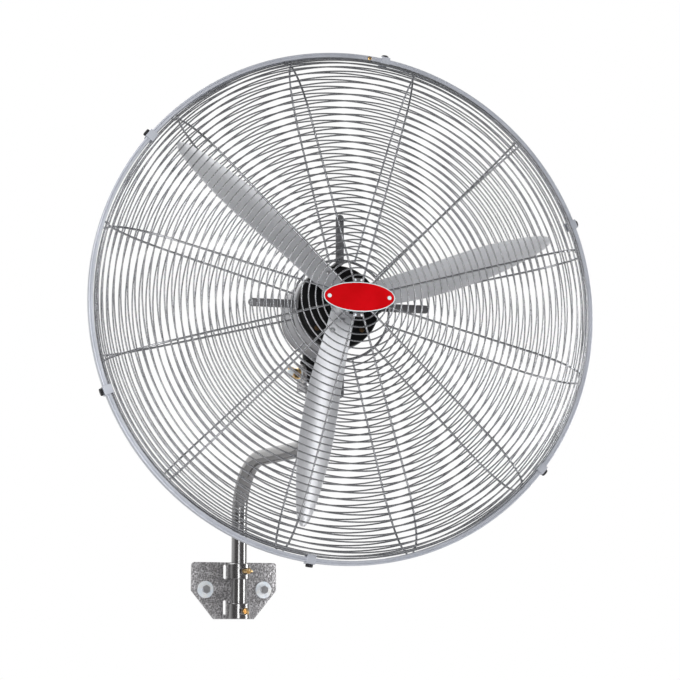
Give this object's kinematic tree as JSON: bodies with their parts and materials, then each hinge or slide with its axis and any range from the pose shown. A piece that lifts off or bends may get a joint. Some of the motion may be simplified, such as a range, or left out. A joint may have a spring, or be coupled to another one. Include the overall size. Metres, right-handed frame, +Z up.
{
  "type": "wall mounted fan",
  "caption": "Industrial wall fan: round wire cage, twisted blades, tilting and swivelling motor head on a gooseneck pole held by a wall plate.",
  "frame": {"origin": "centre of the wall plate's back face, midway between the wall bolts", "axes": "+Z up, +Y into the wall, the fan stands out towards -Y"},
  "size_m": [0.7982, 0.7035, 0.8909],
  "materials": {
    "hammered_paint": "dark grey hammered paint on steel",
    "black_paint": "black satin paint",
    "grey_paint": "light grey paint",
    "zinc": "bright zinc plating",
    "brass": "brass coloured plating",
    "plated_wire": "bright plated steel wire and strip",
    "black_screw": "black oxide screws",
    "blade_aluminium": "satin aluminium",
    "steel": "bare steel",
    "copper_winding": "varnished copper winding",
    "red_enamel": "red enamel",
    "black_plastic": "black moulded plastic"
  },
  "bodies": {
    "wall_bracket": {"wall_plate": "hammered_paint", "upper_collar": "hammered_paint", "lower_collar": "hammered_paint", "washer_left": "zinc", "washer_right": "zinc", "wall_bolt_left": "zinc", "wall_bolt_right": "zinc"},
    "upper_screw": {"upper_thumbscrew": "brass"},
    "lower_screw": {"lower_thumbscrew": "brass"},
    "pole": {"pole_tube": "black_paint", "tilt_fork": "black_paint", "tilt_bolt": "zinc", "tilt_washer": "zinc"},
    "wing_nut": {"tilt_wing_nut": "brass"},
    "neck": {"tilt_knuckle": "hammered_paint", "swivel_nut": "zinc"},
    "head": {"neck_housing": "black_paint", "neck_cover": "black_paint", "run_capacitor": "black_plastic", "cord_gland": "black_plastic", "motor_front_shield": "black_paint", "motor_casing": "grey_paint", "stator_core": "steel", "stator_winding": "copper_winding", "front_bearing": "steel", "rear_bearing": "steel", "front_cage": "plated_wire", "rear_cage": "plated_wire", "rim_channel": "plated_wire", "rim_joint_screw": "brass", "badge_plate": "red_enamel", "badge_backing": "zinc", "shield_screw_upper_right": "brass", "shield_screw_upper_left": "brass", "shield_screw_lower_left": "brass", "shield_screw_lower_right": "brass", "rim_clip_1": "plated_wire", "rim_clip_2": "plated_wire", "rim_clip_3": "plated_wire", "rim_clip_4": "plated_wire", "rim_clip_5": "plated_wire", "rim_clip_6": "plated_wire", "clip_screw_1": "black_screw", "clip_screw_2": "black_screw", "clip_screw_3": "black_screw", "clip_screw_4": "black_screw", "clip_screw_5": "black_screw", "clip_screw_6": "black_screw", "cage_arm_right": "grey_paint", "cage_arm_top": "grey_paint", "cage_arm_left": "grey_paint", "cage_arm_bottom": "grey_paint"},
    "rotor": {"motor_shaft": "steel", "rotor_core": "blade_aluminium", "blade_hub": "steel", "blade_1": "blade_aluminium", "blade_2": "blade_aluminium", "blade_3": "blade_aluminium", "hub_nut": "zinc"}
  },
  "joints": [
    {"name": "upper_screw_turn", "type": "hinge", "parent": "wall_bracket", "child": "upper_screw", "pos_m": [0, -0.06, 0.032], "axis": [0, -1, 0], "continuous": true},
    {"name": "lower_screw_turn", "type": "hinge", "parent": "wall_bracket", "child": "lower_screw", "pos_m": [0, -0.06, -0.039], "axis": [0, -1, 0], "continuous": true},
    {"name": "pole_swivel", "type": "hinge", "parent": "wall_bracket", "child": "pole", "pos_m": [0, -0.027, 0], "axis": [0, 0, 1], "range_deg": [-25, 25]},
    {"name": "wing_nut_turn", "type": "hinge", "parent": "pole", "child": "wing_nut", "pos_m": [-0.03, -0.362, 0.35], "axis": [-1, 0, 0], "continuous": true},
    {"name": "head_tilt", "type": "hinge", "parent": "pole", "child": "neck", "pos_m": [0, -0.362, 0.35], "axis": [1, 0, 0], "range_deg": [-20, 25]},
    {"name": "head_swivel", "type": "hinge", "parent": "neck", "child": "head", "pos_m": [0, -0.362, 0.38], "axis": [0, 0, 1], "range_deg": [-30, 51]},
    {"name": "rotor_spin", "type": "hinge", "parent": "head", "child": "rotor", "pos_m": [-0.04083, -0.57207, 0.4374], "axis": [-0.1908, -0.9816, 0], "continuous": true}
  ]
}
